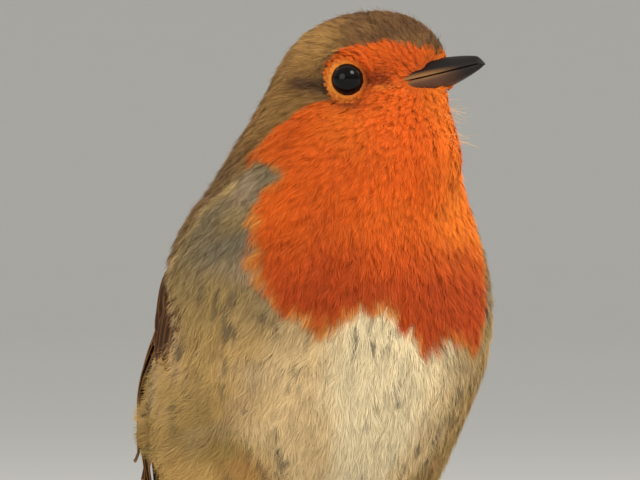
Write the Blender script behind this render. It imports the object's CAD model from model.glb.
import math
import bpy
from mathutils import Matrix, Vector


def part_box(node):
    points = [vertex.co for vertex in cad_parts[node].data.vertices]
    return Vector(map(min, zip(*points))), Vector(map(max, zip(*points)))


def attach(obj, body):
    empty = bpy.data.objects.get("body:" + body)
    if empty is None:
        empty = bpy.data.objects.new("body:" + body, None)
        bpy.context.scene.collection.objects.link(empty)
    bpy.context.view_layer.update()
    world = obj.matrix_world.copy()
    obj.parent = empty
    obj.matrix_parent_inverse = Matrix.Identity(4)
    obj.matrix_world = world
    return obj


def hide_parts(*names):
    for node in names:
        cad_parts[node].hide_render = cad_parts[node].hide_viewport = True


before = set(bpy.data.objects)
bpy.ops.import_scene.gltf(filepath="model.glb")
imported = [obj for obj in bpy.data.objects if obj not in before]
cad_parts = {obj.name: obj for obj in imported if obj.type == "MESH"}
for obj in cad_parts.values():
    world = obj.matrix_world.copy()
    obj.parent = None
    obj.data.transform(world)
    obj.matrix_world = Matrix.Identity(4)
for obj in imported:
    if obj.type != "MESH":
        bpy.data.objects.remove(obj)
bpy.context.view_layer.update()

from types import SimpleNamespace

import bpy
import bmesh
import numpy as np
from mathutils import Vector
from mathutils.bvhtree import BVHTree
from mathutils.kdtree import KDTree

mm = 0.001  # every length below is in millimetres, and meshes are scaled as they are made
rng = np.random.default_rng(11)
upward = np.array([0, 0, 1])


# small helpers

def smooth(low, high, value):
    t = np.clip((value - low) / (high - low), 0, 1)
    return t * t * (3 - 2 * t)


def near(value, middle, spread):  # 1 at the middle, fading out to either side
    return np.exp(-((value - middle) / spread) ** 2)


def within(value, low, high):
    return (value > low) & (value < high)


def mix(a, b, t):
    return a + (b - a) * t


def tint(a, b, t):  # the same for colours, with one share per point
    return a + (b - a) * np.asarray(t)[:, None]


def unit(v):
    return v / np.maximum(np.linalg.norm(v, axis=-1, keepdims=True), 1e-9)


def colour(red, green, blue):  # a screen colour, 0 to 255, as linear light
    c = np.array([red, green, blue]) / 255
    return np.where(c <= 0.04045, c / 12.92, ((c + 0.055) / 1.055) ** 2.4)


def stations(pairs, value):  # a value read off a short list of [place, value]
    places, values = zip(*pairs)
    return np.interp(value, places, values)


scramble = {"cell": np.array([374761393, 668265263, 1440662683]), "salt": 974634777, "spread": 1274126177}


def noiseAt(points, size, salt):  # soft random lumps from -1 to 1, size across
    q = points / size
    cell = np.floor(q).astype(np.int64)
    part = q - cell
    part = part * part * (3 - 2 * part)
    total = np.zeros(len(points))
    for corner in np.ndindex(2, 2, 2):
        h = (cell + corner) @ scramble["cell"] + salt * scramble["salt"]
        h = (h ^ (h >> 13)) * scramble["spread"]
        value = ((h ^ (h >> 16)) & 0xFFFF) / 32767.5 - 1
        total += value * np.prod(np.where(corner, part, 1 - part), axis=1)
    return total


def boxOf(node):
    low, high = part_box(node)
    return np.array(low) / mm, np.array(high) / mm


def middleOf(node):
    low, high = boxOf(node)
    return (low + high) / 2


def fetch(rows, name, width, kind=float):
    found = np.empty(len(rows) * width, kind)
    rows.foreach_get(name, found)
    return found.reshape(-1, width)


def pointsOf(mesh):
    return fetch(mesh.vertices, "co", 3) / mm


def trianglesOf(mesh):
    mesh.calc_loop_triangles()
    return fetch(mesh.loop_triangles, "vertices", 3, np.int32)


def putPoints(mesh, points):
    mesh.vertices.foreach_set("co", (points * mm).astype(np.float32).ravel())
    mesh.update()


def inScene(name, data):
    thing = bpy.data.objects.new(name, data)
    bpy.context.scene.collection.objects.link(thing)
    return thing


def newPiece(name, mesh, material, slot, *nodes):  # a piece of the bird, in place of the nodes named
    piece = inScene(name, mesh)
    mesh.materials.append(material)
    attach(piece, "root")
    if nodes:
        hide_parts(*nodes)
    return piece


def paint(mesh, colours):
    layer = mesh.color_attributes.new("plumage", "FLOAT_COLOR", "POINT")
    full = np.ones((len(colours), 4), np.float32)
    full[:, :3] = np.clip(colours, 0, 1)
    layer.data.foreach_set("color", full.ravel())


def meshFrom(name, points, triangles, colours=None, uv=None, smoothShade=True):
    mesh = bpy.data.meshes.new(name)
    mesh.vertices.add(len(points))
    mesh.vertices.foreach_set("co", (points * mm).astype(np.float32).ravel())
    mesh.loops.add(len(triangles) * 3)
    mesh.loops.foreach_set("vertex_index", triangles.astype(np.int32).ravel())
    mesh.polygons.add(len(triangles))
    mesh.polygons.foreach_set("loop_start", np.arange(0, len(triangles) * 3, 3, dtype=np.int32))
    if colours is not None:
        paint(mesh, colours)
    if uv is not None:
        layer = mesh.uv_layers.new(name="OFBake")
        layer.data.foreach_set("uv", uv[triangles.ravel()].astype(np.float32).ravel())
    mesh.update(calc_edges=True)
    mesh.validate()
    if smoothShade:
        mesh.shade_smooth()
    return mesh


def makePiece(name, made, material, slot, *nodes, smoothShade=True):
    return newPiece(name, meshFrom(name, *made, smoothShade=smoothShade), material, slot, *nodes)


# finishes: each shows its piece's own tones, varied and roughened by one fine noise

finishes = {  # noise: scale and detail, vary: how much it lightens and darkens, bump: strength and height
    "coat": {"noise": (900, 4), "vary": 0.12, "rough": (0.72, 0.9), "gloss": 0.15, "bump": (0.4, 0.02)},
    "skin": {"noise": (900, 4), "vary": 0.12, "rough": (0.77, 0.95), "gloss": 0.15, "bump": (0.4, 0.1)},
    "vane": {"noise": (900, 4), "vary": 0.12, "rough": (0.64, 0.82), "gloss": 0.05, "bump": (0.4, 0.04)},
    "billHorn": {"noise": (700, 5), "vary": 0.2, "rough": (0.36, 0.61), "gloss": 0.24, "bump": (0.35, 0.05)},
    "clawHorn": {"noise": (600, 5), "vary": 0.2, "rough": (0.25, 0.5), "gloss": 0.24, "bump": (0.35, 0.03)},
    "legSkin": {"noise": (900, 5), "vary": 0.2, "rough": (0.4, 0.65), "gloss": 0.24, "bump": (0.35, 0.06)},
    "eye": {"noise": (1500, 2), "vary": 0, "rough": (0.02, 0.06), "gloss": 0.14, "bump": (0.02, 0.01)},
    "floor": {"noise": (30, 4), "tone": (0.6, 0.6, 0.585), "rough": (0.75, 0.9)},
}


def finish(name):
    look = finishes[name]
    material = bpy.data.materials.new(name)
    material.use_nodes = True
    tree = material.node_tree
    shader = tree.nodes["Principled BSDF"]

    def add(kind, *values):
        node = tree.nodes.new(kind)
        for socket, value in values:
            node.inputs[socket].default_value = value
        return node

    def link(start, socket, end, into):
        tree.links.new(start.outputs[socket], end.inputs[into])

    def ranged(low, high):  # the noise, brought between two values
        node = add("ShaderNodeMapRange", ("To Min", low), ("To Max", high))
        link(noise, "Fac", node, "Value")
        return node

    noise = add("ShaderNodeTexNoise", ("Scale", look["noise"][0]), ("Detail", look["noise"][1]))
    link(add("ShaderNodeTexCoord"), "Object", noise, "Vector")
    link(ranged(*look["rough"]), "Result", shader, "Roughness")
    if "tone" in look:
        shader.inputs["Base Color"].default_value = (*look["tone"], 1)
        return material
    tone = add("ShaderNodeAttribute")
    tone.attribute_name = "plumage"
    if look["vary"]:
        varied = add("ShaderNodeHueSaturation")
        link(tone, "Color", varied, "Color")
        link(ranged(1 - look["vary"], 1 + look["vary"]), "Result", varied, "Value")
        tone = varied
    link(tone, "Color", shader, "Base Color")
    shader.inputs["Specular IOR Level"].default_value = look["gloss"]
    bump = add("ShaderNodeBump", ("Strength", look["bump"][0]), ("Distance", look["bump"][1] * mm))
    link(noise, "Fac", bump, "Height")
    link(bump, "Normal", shader, "Normal")
    return material


# the head's own directions, from its eyes: forward over the bill, left, and up

eyeRight, eyeLeft = middleOf("eye_right"), middleOf("eye_left")
bothEyes = ((eyeRight, -1), (eyeLeft, 1))
sides = ((-1, "right"), (1, "left"))
eyeRadius = float((boxOf("eye_right")[1] - boxOf("eye_right")[0]).mean() / 2)
eyesFrom = {"ahead": 3.5, "above": 0.5}  # from the head's middle
headLeft = unit(eyeLeft - eyeRight)
headForward = unit(np.cross(headLeft, upward))
headUp = np.cross(headForward, headLeft)
headMiddle = (eyeRight + eyeLeft) / 2 - eyesFrom["ahead"] * headForward - eyesFrom["above"] * headUp


def headPoint(forward, side, up):
    return headMiddle + headForward * forward + headLeft * side + headUp * up


def headPlace(points):
    away = points - headMiddle
    return away @ headForward, away @ headLeft, away @ headUp


lids = {"opening": 2.58, "end": 4.8, "fade": 1.5, "behind": -1.5, "forward": 25, "down": 13,
        "rim": 0.28, "slope": 0.5, "tuck": 0.7}


def eyeFacing(side):  # which way an eye looks: outward and a little forward
    turn, dip = math.radians(lids["forward"]), math.radians(lids["down"])
    return unit(headLeft * side * math.cos(turn) + headForward * math.sin(turn) - headUp * math.sin(dip))


def fromEye(points, eye, side):  # height along the way it looks, and the way out from that line
    away = points - eye
    height = away @ eyeFacing(side)
    return height, away - height[:, None] * eyeFacing(side)


def eyeReach(points):  # distance from the line along which the nearer eye looks
    reach = np.full(len(points), 99.0)
    for eye, side in bothEyes:
        height, out = fromEye(points, eye, side)
        flat = np.linalg.norm(out, axis=1)
        reach = np.where((height > lids["behind"]) & (flat < reach), flat, reach)
    return reach


def lidShape(points):  # draws the skin up round each eye as a lid with a thick rim
    rim = lids["opening"]
    top = math.sqrt(eyeRadius ** 2 - rim ** 2) + lids["rim"]
    for eye, side in bothEyes:
        height, out = fromEye(points, eye, side)
        reach = np.linalg.norm(out, axis=1)
        inside = np.sqrt(np.maximum(eyeRadius ** 2 - reach ** 2, 0)) - lids["tuck"]
        lid = np.where(reach < rim - 0.15, inside, top - lids["slope"] * np.maximum(reach - rim - 0.3, 0))
        weight = smooth(lids["end"], lids["end"] - lids["fade"], reach) * (height > lids["behind"])
        points = points + eyeFacing(side) * ((lid - height) * weight)[:, None]
    return points


bill = {
    "gape": (8.2, -0.5), "tip": 23.1, "rise": 16, "rings": 46, "around": 36,
    "stops": [0, 0.22, 0.45, 0.65, 0.82, 0.94, 1],  # from the gape to the tip
    "upperWide": [5, 4.2, 3.0, 1.95, 1.25, 0.7, 0.16], "upperHigh": [2.6, 3, 2.9, 2.45, 1.85, 1.2, 0.3],
    "lowerWide": [4.8, 4, 2.8, 1.75, 1.05, 0.55, 0.14], "lowerHigh": [2, 2.05, 1.95, 1.6, 1.1, 0.6, 0.16],
    "hook": 0.35, "nostril": (0.37, 0.62), "nostrilDepth": 0.65,
    "horn": colour(20, 15, 13), "lowerHorn": colour(84, 56, 40), "edge": colour(188, 134, 78),
    "root": colour(176, 112, 58),
}
billRise = math.radians(bill["rise"])
billLength = bill["tip"] - bill["gape"][0]
billRoot = headPoint(11.5, 0, 0.8)


def inBill(points, room):
    forward, side, up = headPlace(points)
    ahead, high = forward - bill["gape"][0], up - bill["gape"][1]
    t = (ahead * math.cos(billRise) + high * math.sin(billRise)) * math.cos(billRise) / billLength
    up = high * math.cos(billRise) - ahead * math.sin(billRise)
    wide, upper, lower = (np.interp(t, bill["stops"], bill[row])
                          for row in ("upperWide", "upperHigh", "lowerHigh"))
    return (t > 0) & ((side / (wide + room)) ** 2 + (up / (np.where(up > 0, upper, lower) + room)) ** 2 < 1)


# plumage: where each colour lies, as angles round the body, heights, and places on the head

plumage = {  # each edge is a list of places, and where the edge lies there
    "orange": colour(224, 96, 24), "orangeLight": colour(240, 132, 38), "orangeDeep": colour(178, 67, 22),
    "orangeEdge": colour(212, 142, 62), "ring": colour(236, 146, 56), "eyeLine": colour(72, 50, 34),
    "crown": colour(106, 75, 47), "crownSide": colour(172, 130, 74), "nape": colour(146, 108, 58),
    "mantle": colour(130, 99, 61), "shoulder": colour(206, 174, 116), "greySide": colour(126, 113, 90),
    "olive": colour(160, 132, 74), "warm": colour(200, 146, 84), "pinkGrey": colour(186, 160, 130),
    "flank": colour(204, 168, 108), "flankLow": colour(200, 162, 96), "inner": colour(225, 196, 146),
    "cream": colour(238, 220, 180), "vent": colour(214, 196, 156), "fleck": colour(92, 80, 66),
    "base": colour(70, 62, 56),  # the grey foot of every feather
    "patchAngle": [(62, 58), (70, 58), (75, 62), (79, 66), (84, 68), (87.5, 69), (90.4, 67), (92.2, 79),
                   (93.5, 93), (96, 99), (98, 97)],  # the orange's edge, as an angle by height
    "patchFloor": [(-21, 73), (-17.4, 67.5), (-15.3, 67.1), (-13.3, 64.8), (-11.6, 65.2), (-8.5, 66.8),
                   (-6.6, 68.8), (-3.5, 68.9), (-0.7, 68.6), (0.4, 65.9), (3.2, 63.8), (5.8, 61.2), (7.2, 63),
                   (8.4, 62), (9.9, 63.8), (13.5, 63.8), (16.9, 61.4), (18.7, 64.8), (21, 69)],
    "faceTop": [(3.6, 6.2), (6.7, 6.7), (11, 6.5), (14.4, 6.2)],
    "faceBack": [(-12, -8.4), (-8.7, -8), (-6.7, -5.3), (-4.3, -2.8), (-3.2, 1.2), (-1, 0.9), (1.2, 0.2),
                 (3.2, 0.9), (4.8, 2), (6.2, 3.6), (7, 7)],
    "spur": (17.6, -35, 93.2),
    "backAngle": [(30, 118), (58, 128), (68, 118), (82, 104), (92, 88), (97, 60), (99, 0), (101, -30)],
    "backEdge": [(20, 60), (28, 44), (32, 22), (36, 8), (42, 4), (54, 4), (60, -1), (64, -8), (70, -30),
                 (76, -60)],
    "shoulderLine": [(19.6, -32.6, 89), (22, -27.1, 85), (25, -22.1, 76.4)],
}
bodyAxisY = middleOf("trunk")[1] - 8.5  # the upright line that angles round the body are taken from


def mirrored(points):  # as if all on the bird's left
    return np.abs(points * [1, 0, 0]) + points * [0, 1, 1]


def roundBody(points):  # angle from the breast's middle, in degrees, with the neck's turn taken out
    turn = math.atan2(headForward[0], -headForward[1]) * smooth(84, 100, points[:, 2])
    x, y = points[:, 0], points[:, 1] - bodyAxisY
    across = x * np.cos(turn) + y * np.sin(turn)
    ahead = x * np.sin(turn) - y * np.cos(turn)
    return np.degrees(np.arctan2(np.abs(across), ahead))


def placesOn(points):  # each point's place on the body and the head, and noise that is read there
    forward, side, up = headPlace(points)
    x, y, z = points.T
    return SimpleNamespace(
        points=points, x=x, y=y, z=z, angle=roundBody(points), isHead=smooth(90, 97, z),
        forward=forward, side=side, up=up,
        noise=lambda size, salt, stretch=(1, 1, 1): noiseAt(points * stretch, size, salt))


def orangeDepth(at):  # how far inside the orange patch, in millimetres
    angleGap = (stations(plumage["patchAngle"], at.z) - at.angle) * 0.36
    onBody = np.minimum(at.z - stations(plumage["patchFloor"], at.x), angleGap)
    onFace = np.minimum(stations(plumage["faceTop"], at.forward) - at.up,
                        at.forward - stations(plumage["faceBack"], at.up))
    depth = onBody + (onFace - onBody) * smooth(94, 98.5, at.z)
    spur = 0.1 - 0.5 * np.linalg.norm(mirrored(at.points) - plumage["spur"], axis=1)
    ragged = 0.8 * at.noise(1.6, 32) + 0.9 * at.noise(4, 2)
    return np.maximum(depth, spur) + ragged * mix(1.0, 0.45, smooth(96, 101, at.z))


def shoulderGap(points):  # distance from the buff line along the side of the neck and over the shoulder
    own = mirrored(points)
    gap = np.full(len(points), 99.0)
    for start, end in zip(plumage["shoulderLine"], plumage["shoulderLine"][1:]):
        a, b = np.array(start), np.array(end)
        share = np.clip(((own - a) @ (b - a)) / ((b - a) @ (b - a)), 0, 1)
        gap = np.minimum(gap, np.linalg.norm(own - a - share[:, None] * (b - a), axis=1))
    return gap


def backTone(at):  # mantle, crown and nape, with the dark line behind the eye
    aside = np.abs(at.side)
    tone = tint(plumage["mantle"], plumage["crown"], at.isHead)
    tone = tint(tone, plumage["nape"], at.isHead * smooth(4, -4, at.forward) * smooth(1, 6, aside) * 0.9)
    pale = near(at.forward, -3, 6) * near(at.up, 6, 3.5) * smooth(1, 4, aside)
    tone = tint(tone, plumage["crownSide"], at.isHead * np.clip(pale + 0.35 * at.noise(2.5, 8), 0, 1))
    line = near(at.up + 0.12 * (at.forward - 1), -1.3, 1.7)
    line = line * smooth(3, 0.5, at.forward) * smooth(-9, -4, at.forward)
    tone = tint(tone, plumage["eyeLine"], 0.95 * line * at.isHead)
    mottle = 0.2 * at.noise(2, 18, (1, 1, 0.7)) + 0.14 * at.noise(0.9, 20)
    return tone * (1 + mottle * mix(0.3, 1, at.isHead))[:, None]


def frontTone(at):  # the grey side of the neck, the flanks and the belly
    grey = smooth(61, 81, at.z + 5 * smooth(75, 50, at.angle))
    flank = tint(plumage["flankLow"], tint(plumage["flank"], plumage["greySide"], grey), smooth(36, 62, at.z))
    olive = smooth(62, 95, at.angle) * 0.5 * smooth(40, 50, at.z) + 0.6 * at.noise(6, 9)
    flank = tint(flank, plumage["olive"], np.clip(olive, 0, 1))
    flank = tint(flank, plumage["warm"], 0.6 * smooth(0.2, 0.8, at.noise(5, 11)) * smooth(66, 50, at.z))
    flank = tint(flank, plumage["pinkGrey"], 0.5 * smooth(0.1, 0.7, at.noise(5, 12)) * smooth(40, 52, at.z))
    belly = tint(plumage["vent"], plumage["cream"], smooth(34, 46, at.z))
    belly = tint(belly, plumage["inner"], smooth(18, 44, at.angle + 8 * at.noise(5, 19)))
    outward = at.angle + 8 * at.noise(5, 3) + 16 * smooth(4, 12, at.x)
    outward = outward + 20 * smooth(58, 68, at.z) - 6 * smooth(58, 50, at.z)
    return tint(belly, flank, smooth(52, 80, outward))


def orangeTone(at, depth):  # lighter on the left of the throat, deeper low on the breast and on the forehead
    lit = smooth(-0.3, 0.9, at.noise(9, 5) + 0.35 * at.noise(3.5, 6))
    tone = tint(plumage["orange"], plumage["orangeLight"], 0.3 * lit * smooth(70, 92, at.z))
    tone = tint(tone, plumage["orangeLight"], 0.8 * smooth(2, 13, at.x) * smooth(72, 82, at.z))
    tone = tone * (1 - 0.1 * smooth(0, -10, at.x))[:, None]
    deep = smooth(0.1, 0.8, at.noise(6, 7)) * 0.35 + 0.95 * smooth(84, 70, at.z)
    deep = deep + 0.5 * at.isHead * smooth(7, 10, at.forward) * smooth(1, 3, at.up)
    tone = tint(tone, plumage["orangeDeep"], np.clip(deep, 0, 0.92) * mix(1.0, 0.55, at.isHead))
    fringe = near(depth, 0.3, 1.3) * smooth(-0.6, 0.5, at.noise(3, 10)) * (1 - at.isHead)
    return tint(tone, plumage["orangeEdge"], 0.8 * fringe)


def fleckShare(at):  # short dark streaks where the grey feather bases show
    return smooth(0.3, 0.6, at.noise(0.8, 15, (1, 1, 0.28))) * smooth(-0.3, 0.3, at.noise(6.5, 16))


def faceMarks(tone, at, orangeShare):  # the dark lore, the line of the gape, the eye's ring and its crease
    gapeHeight = at.up - (at.forward - bill["gape"][0]) * 0.3
    gape = near(gapeHeight, -0.5, 0.4) * smooth(4.6, 6.2, at.forward) * smooth(10, 8.6, at.forward)
    tone = tint(tone, plumage["eyeLine"], 0.55 * gape * at.isHead)
    lore = near(at.forward, 6.9, 2.6) * near(at.up, 0.7, 1.7)
    lore = lore + 0.7 * near(at.forward, 4.5, 3) * near(at.up, -4.1, 0.8)
    tone = tint(tone, plumage["orangeDeep"] * 0.54, np.clip(lore * orangeShare * at.isHead, 0, 0.95))
    pale = near(gapeHeight, -1.1, 0.4) * smooth(7.2, 8.4, at.forward) * smooth(11, 9, at.forward)
    tone = tint(tone, plumage["ring"], 0.4 * pale * at.isHead)

    reach = eyeReach(at.points + (headForward * 0.45 + headUp * 0.25) * at.isHead[:, None])
    eyeAhead = headPlace(eyeRight)[0]
    behindEye = smooth(eyeAhead + 2.6, eyeAhead - 1, at.forward)
    lid = tint(plumage["ring"], plumage["orangeDeep"], 0.5 * near(reach, 3.25, 0.2))
    tone = tint(tone, lid, mix(0.3, 0.85, behindEye) * smooth(3.7, 3.3, reach))
    crease = near(reach, 4, 0.35) * smooth(1.5, 0, at.up) * mix(0.4, 1, behindEye)
    return tint(tone, plumage["eyeLine"], 0.6 * crease * at.isHead)


def plumageAt(points):
    at = placesOn(points)
    depth = orangeDepth(at)
    behind = smooth(-1.6, 1.6, at.y - stations(plumage["backEdge"], at.z) + at.noise(3, 14))
    pastEdge = at.angle - stations(plumage["backAngle"], at.z) + 4 * at.noise(3, 4)
    tone = tint(frontTone(at), backTone(at), smooth(-7, 7, pastEdge) * behind)
    onShoulder = smooth(1.5, 0.5, shoulderGap(points) + 0.5 * at.noise(1.2, 13))
    tone = tint(tone, plumage["shoulder"], 0.75 * onShoulder)
    edge = mix(0.9, 0.45, at.isHead)
    orangeShare = smooth(-edge, edge, depth)
    tone = tint(tone, orangeTone(at, depth), orangeShare)
    tone = tint(tone, plumage["fleck"], 0.8 * fleckShare(at) * smooth(82, 74, at.z) * (1 - orangeShare))
    farSide = 0.28 * smooth(6, 14, at.x) * (1 - orangeShare)
    tone = tone * (1 + 0.1 * at.noise(4, 17) - farSide)[:, None]
    return faceMarks(tone, at, orangeShare)


# skin: the flesh solids as one, closed over the bill's and eyes' places, then drawn in by the coat's depth

skinSettings = {
    "nodes": ["head", "neck", "trunk", "rump", "thigh_right", "thigh_left", "wing_coverts_right",
              "wing_coverts_left"],
    "plugs": ["eye_right", "eye_left", "bill_upper", "bill_lower"],
    "swell": 0.4, "firstVoxel": 0.75, "voxel": 0.6, "rounds": 8, "lastRounds": 4,
    "relax": 0.5, "relaxBack": 1.04,  # each smoothing step and the one that undoes its shrinking
    "coatDepth": (0.4, 1.6), "depthAtBill": 0.35, "depthGrowth": 0.055, "legDepth": 0.6, "tailDepth": 0.7,
    "uvAngle": 1.15, "uvMargin": 0.004,
}
legHeights = (33, 29)  # the coat turns into the legs' short feathers between these


def fromBill(points):
    return np.linalg.norm(points - billRoot, axis=1)


def coatDepth(points):  # how far the skin lies below the feathers' surface
    depth = skinSettings["depthAtBill"] + skinSettings["depthGrowth"] * fromBill(points)
    depth = mix(np.clip(depth, *skinSettings["coatDepth"]), skinSettings["legDepth"],
                smooth(*legHeights, points[:, 2]))
    return mix(depth, skinSettings["tailDepth"], smooth(2, 14, points[:, 1]))


def voxelMesh(piece, size):
    remesh = piece.modifiers.new("whole", "REMESH")
    remesh.mode = "VOXEL"
    remesh.voxel_size = size * mm
    graph = bpy.context.evaluated_depsgraph_get()
    mesh = bpy.data.meshes.new_from_object(piece.evaluated_get(graph))
    piece.modifiers.clear()
    return mesh


def relaxed(mesh, rounds):  # the mesh's points, smoothed without shrinking much
    points, edges = pointsOf(mesh), fetch(mesh.edges, "vertices", 2, np.int32)
    first, second = edges[:, 0], edges[:, 1]
    count = np.bincount(edges.ravel(), minlength=len(points))[:, None]
    for i in range(rounds * 2):
        total = np.zeros_like(points)
        for axis in range(3):
            total[:, axis] = (np.bincount(first, points[second, axis], len(points))
                              + np.bincount(second, points[first, axis], len(points)))
        step = skinSettings["relax"] * (1 if i % 2 == 0 else -skinSettings["relaxBack"])
        points = points + (total / np.maximum(count, 1) - points) * step
    return points


def closedForm(nodes):  # one closed surface over all the nodes, drawn in by the coat's depth
    whole = bmesh.new()
    for node in nodes:
        part = bmesh.new()
        part.from_mesh(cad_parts[node].data)
        bmesh.ops.remove_doubles(part, verts=part.verts, dist=0.001 * mm)
        part.normal_update()
        for vert in part.verts:
            vert.co += vert.normal * skinSettings["swell"] * mm
        swollen = bpy.data.meshes.new("part")
        part.to_mesh(swollen)
        whole.from_mesh(swollen)
        part.free()
    rough = bpy.data.meshes.new("roughSkin")
    whole.to_mesh(rough)
    whole.free()
    piece = inScene("roughSkin", rough)
    outer = voxelMesh(piece, skinSettings["firstVoxel"])
    points = relaxed(outer, skinSettings["rounds"])
    putPoints(outer, points)
    drawIn = coatDepth(points) + skinSettings["swell"]
    putPoints(outer, points - fetch(outer.vertex_normals, "vector", 3) * drawIn[:, None])
    piece.data = outer
    inner = voxelMesh(piece, skinSettings["voxel"])
    putPoints(inner, relaxed(inner, skinSettings["lastRounds"]))
    bpy.data.objects.remove(piece)
    return inner


def withLids(form, name):
    fine = bmesh.new()  # smaller faces round the eyes
    fine.from_mesh(form)
    for size in (lids["end"] + 0.6, lids["end"]):
        closeBy = [e for e in fine.edges if min(
            (e.verts[0].co / mm - Vector(eye)).length for eye in (eyeRight, eyeLeft)) < size + 0.4]
        bmesh.ops.subdivide_edges(fine, edges=closeBy, cuts=1, use_grid_fill=True)
    bmesh.ops.triangulate(fine, faces=[f for f in fine.faces if len(f.verts) > 4])
    mesh = bpy.data.meshes.new(name)
    fine.to_mesh(mesh)
    fine.free()
    putPoints(mesh, lidShape(pointsOf(mesh)))
    mesh.shade_smooth()
    return mesh


def unwrap(piece):
    bpy.context.view_layer.objects.active = piece
    bpy.ops.object.select_all(action="DESELECT")
    piece.select_set(True)
    piece.data.uv_layers.new(name="OFBake")
    bpy.ops.object.mode_set(mode="EDIT")
    bpy.ops.mesh.select_all(action="SELECT")
    bpy.ops.uv.smart_project(angle_limit=skinSettings["uvAngle"], island_margin=skinSettings["uvMargin"],
                             scale_to_bounds=True)
    bpy.ops.object.mode_set(mode="OBJECT")


fleshAndPlugs = skinSettings["nodes"] + skinSettings["plugs"]
skinMesh = withLids(closedForm(fleshAndPlugs), "skin")
print("skin:", len(skinMesh.vertices), "points")

# coat: many small feathers, each a fan of fine barbs that follows the skin and lies along the body

coat = {  # spacing, length and width by distance from the bill
    "spacing": [(0, 0.34), (4, 0.4), (16, 0.43), (30, 0.51), (50, 0.58), (80, 0.62)],
    "length": [(0, 1.1), (4, 1.9), (10, 2.9), (18, 4.2), (30, 5.6), (50, 7.2), (75, 8.6)],
    "width": [(0, 0.45), (6, 0.6), (16, 0.95), (30, 1.5), (50, 1.9), (75, 2.2)],
    "onLegs": {"length": 3.0, "width": 0.9}, "onRing": {"length": 0.9, "width": 0.4, "depth": 0.3},
    "onCoverts": 4.4, "overWingLength": (3.7, 3.2),  # the longest feathers there, low down and high up
    "overWingDepth": 0.85,
    "overWing": [(41, -22), (43.5, -20), (46, -15), (49, -10), (52, -7), (56, -7), (61, -9.3), (64, -11.5),
                 (67, -19)],  # how far back, by height
    "seeds": 3.2, "quickGap": 1.8, "turn": 0.22, "barbs": 22, "halfWidth": 0.04, "steps": 6,
    "stops": (0, 0.58, 1),  # the places along a barb where its points are
    "shares": (0.1, 0.1, 0.85, 0.85, 1.05),  # of each point's own tone, over the tone of the foot
    "curl": 0.025, "loose": 0.03, "dark": 0.015, "tuft": 0.003, "perPiece": 62000,  # barbs
}
tailTop = np.array([0, boxOf("tail")[0][1], boxOf("tail")[1][2]])


def meshTree(points, triangles):
    return BVHTree.FromPolygons(points.tolist(), triangles.tolist(), all_triangles=True)


def pointTree(points):
    tree = KDTree(len(points))
    for i, p in enumerate(points.tolist()):
        tree.insert(p, i)
    tree.balance()
    return tree


class Form:  # a surface that points can be found on, with smooth normals
    def __init__(self, mesh):
        self.points = pointsOf(mesh)
        self.triangles = trianglesOf(mesh)
        self.normals = fetch(mesh.vertex_normals, "vector", 3)
        self.tree = meshTree(self.points, self.triangles)

    def shares(self, faces, spots):
        a, b, c = (self.points[self.triangles[faces, k]] for k in range(3))
        n = np.cross(b - a, c - a)
        area = np.maximum((n * n).sum(1), 1e-12)
        u = (np.cross(b - spots, c - spots) * n).sum(1) / area
        v = (np.cross(c - spots, a - spots) * n).sum(1) / area
        return np.clip(np.stack([u, v, 1 - u - v], 1), 0, 1)

    def nearest(self, points):
        spots = np.empty_like(points)
        faces = np.empty(len(points), int)
        for i, p in enumerate(points.tolist()):
            spots[i], normal, faces[i], gap = self.tree.find_nearest(p)
        share = self.shares(faces, spots)
        normals = (self.normals[self.triangles[faces]] * share[:, :, None]).sum(1)
        return spots, unit(normals)


def flowAt(points, normals):  # which way the feathers lie
    x, y, z = points.T
    body = 0.5 * unit(tailTop - points) - 0.5 * upward
    front = smooth(10, -20, y) * smooth(95, 80, z)
    body[:, 0] += np.sign(x) * 0.2 * smooth(2, 12, np.abs(x)) * front
    byWing = smooth(15, 23, np.abs(x)) * smooth(-36, -27, y) * smooth(68, 58, z)
    body = body + np.array([0, 0.6, 0.25]) * byWing[:, None]
    way = tint(unit(points - billRoot), body, smooth(16, 44, fromBill(points)))
    for eye, side in bothEyes:
        height, out = fromEye(points, eye, side)
        close = smooth(5.5, 2.6, np.linalg.norm(out, axis=1)) * (height > -4)
        way = way + unit(out) * (1.3 * close)[:, None]
    swirl = 0.16 * noiseAt(points, 9, 21) + 0.1 * noiseAt(points, 3.5, 22)
    way = way - (way * normals).sum(1)[:, None] * normals
    return unit(unit(way) + np.cross(normals, unit(way)) * swirl[:, None])


def scatter(form, uv):  # evenly spread roots, closer together on the face
    corners = form.points[form.triangles]
    area = np.linalg.norm(np.cross(corners[:, 1] - corners[:, 0], corners[:, 2] - corners[:, 0]), axis=1) / 2
    gap = stations(coat["spacing"], fromBill(corners.mean(1))) * 1
    wanted = coat["seeds"] * area / gap ** 2
    count = np.floor(wanted + rng.random(len(wanted))).astype(int)
    face = np.repeat(np.arange(len(count)), count)
    face = face[rng.permutation(len(face))]
    a, b = rng.random((2, len(face)))
    flip = a + b > 1
    a[flip], b[flip] = 1 - a[flip], 1 - b[flip]
    share = np.stack([1 - a - b, a, b], 1)
    spots = (corners[face] * share[:, :, None]).sum(1)
    gap = gap[face]
    tree = pointTree(spots)
    state = np.zeros(len(spots), np.int8)  # 1 for a root, 2 for a spot too close to one
    for i, p in enumerate(spots.tolist()):
        if not state[i]:
            state[[found[1] for found in tree.find_range(p, gap[i])]] = 2
            state[i] = 1
    chosen = np.flatnonzero(state == 1)
    face, share = face[chosen], share[chosen][:, :, None]
    normals = unit((form.normals[form.triangles[face]] * share).sum(1))
    return spots[chosen], normals, (uv[face] * share).sum(1)


# wings: a place on a wing is a length down a line inside the body and a length round it

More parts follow.
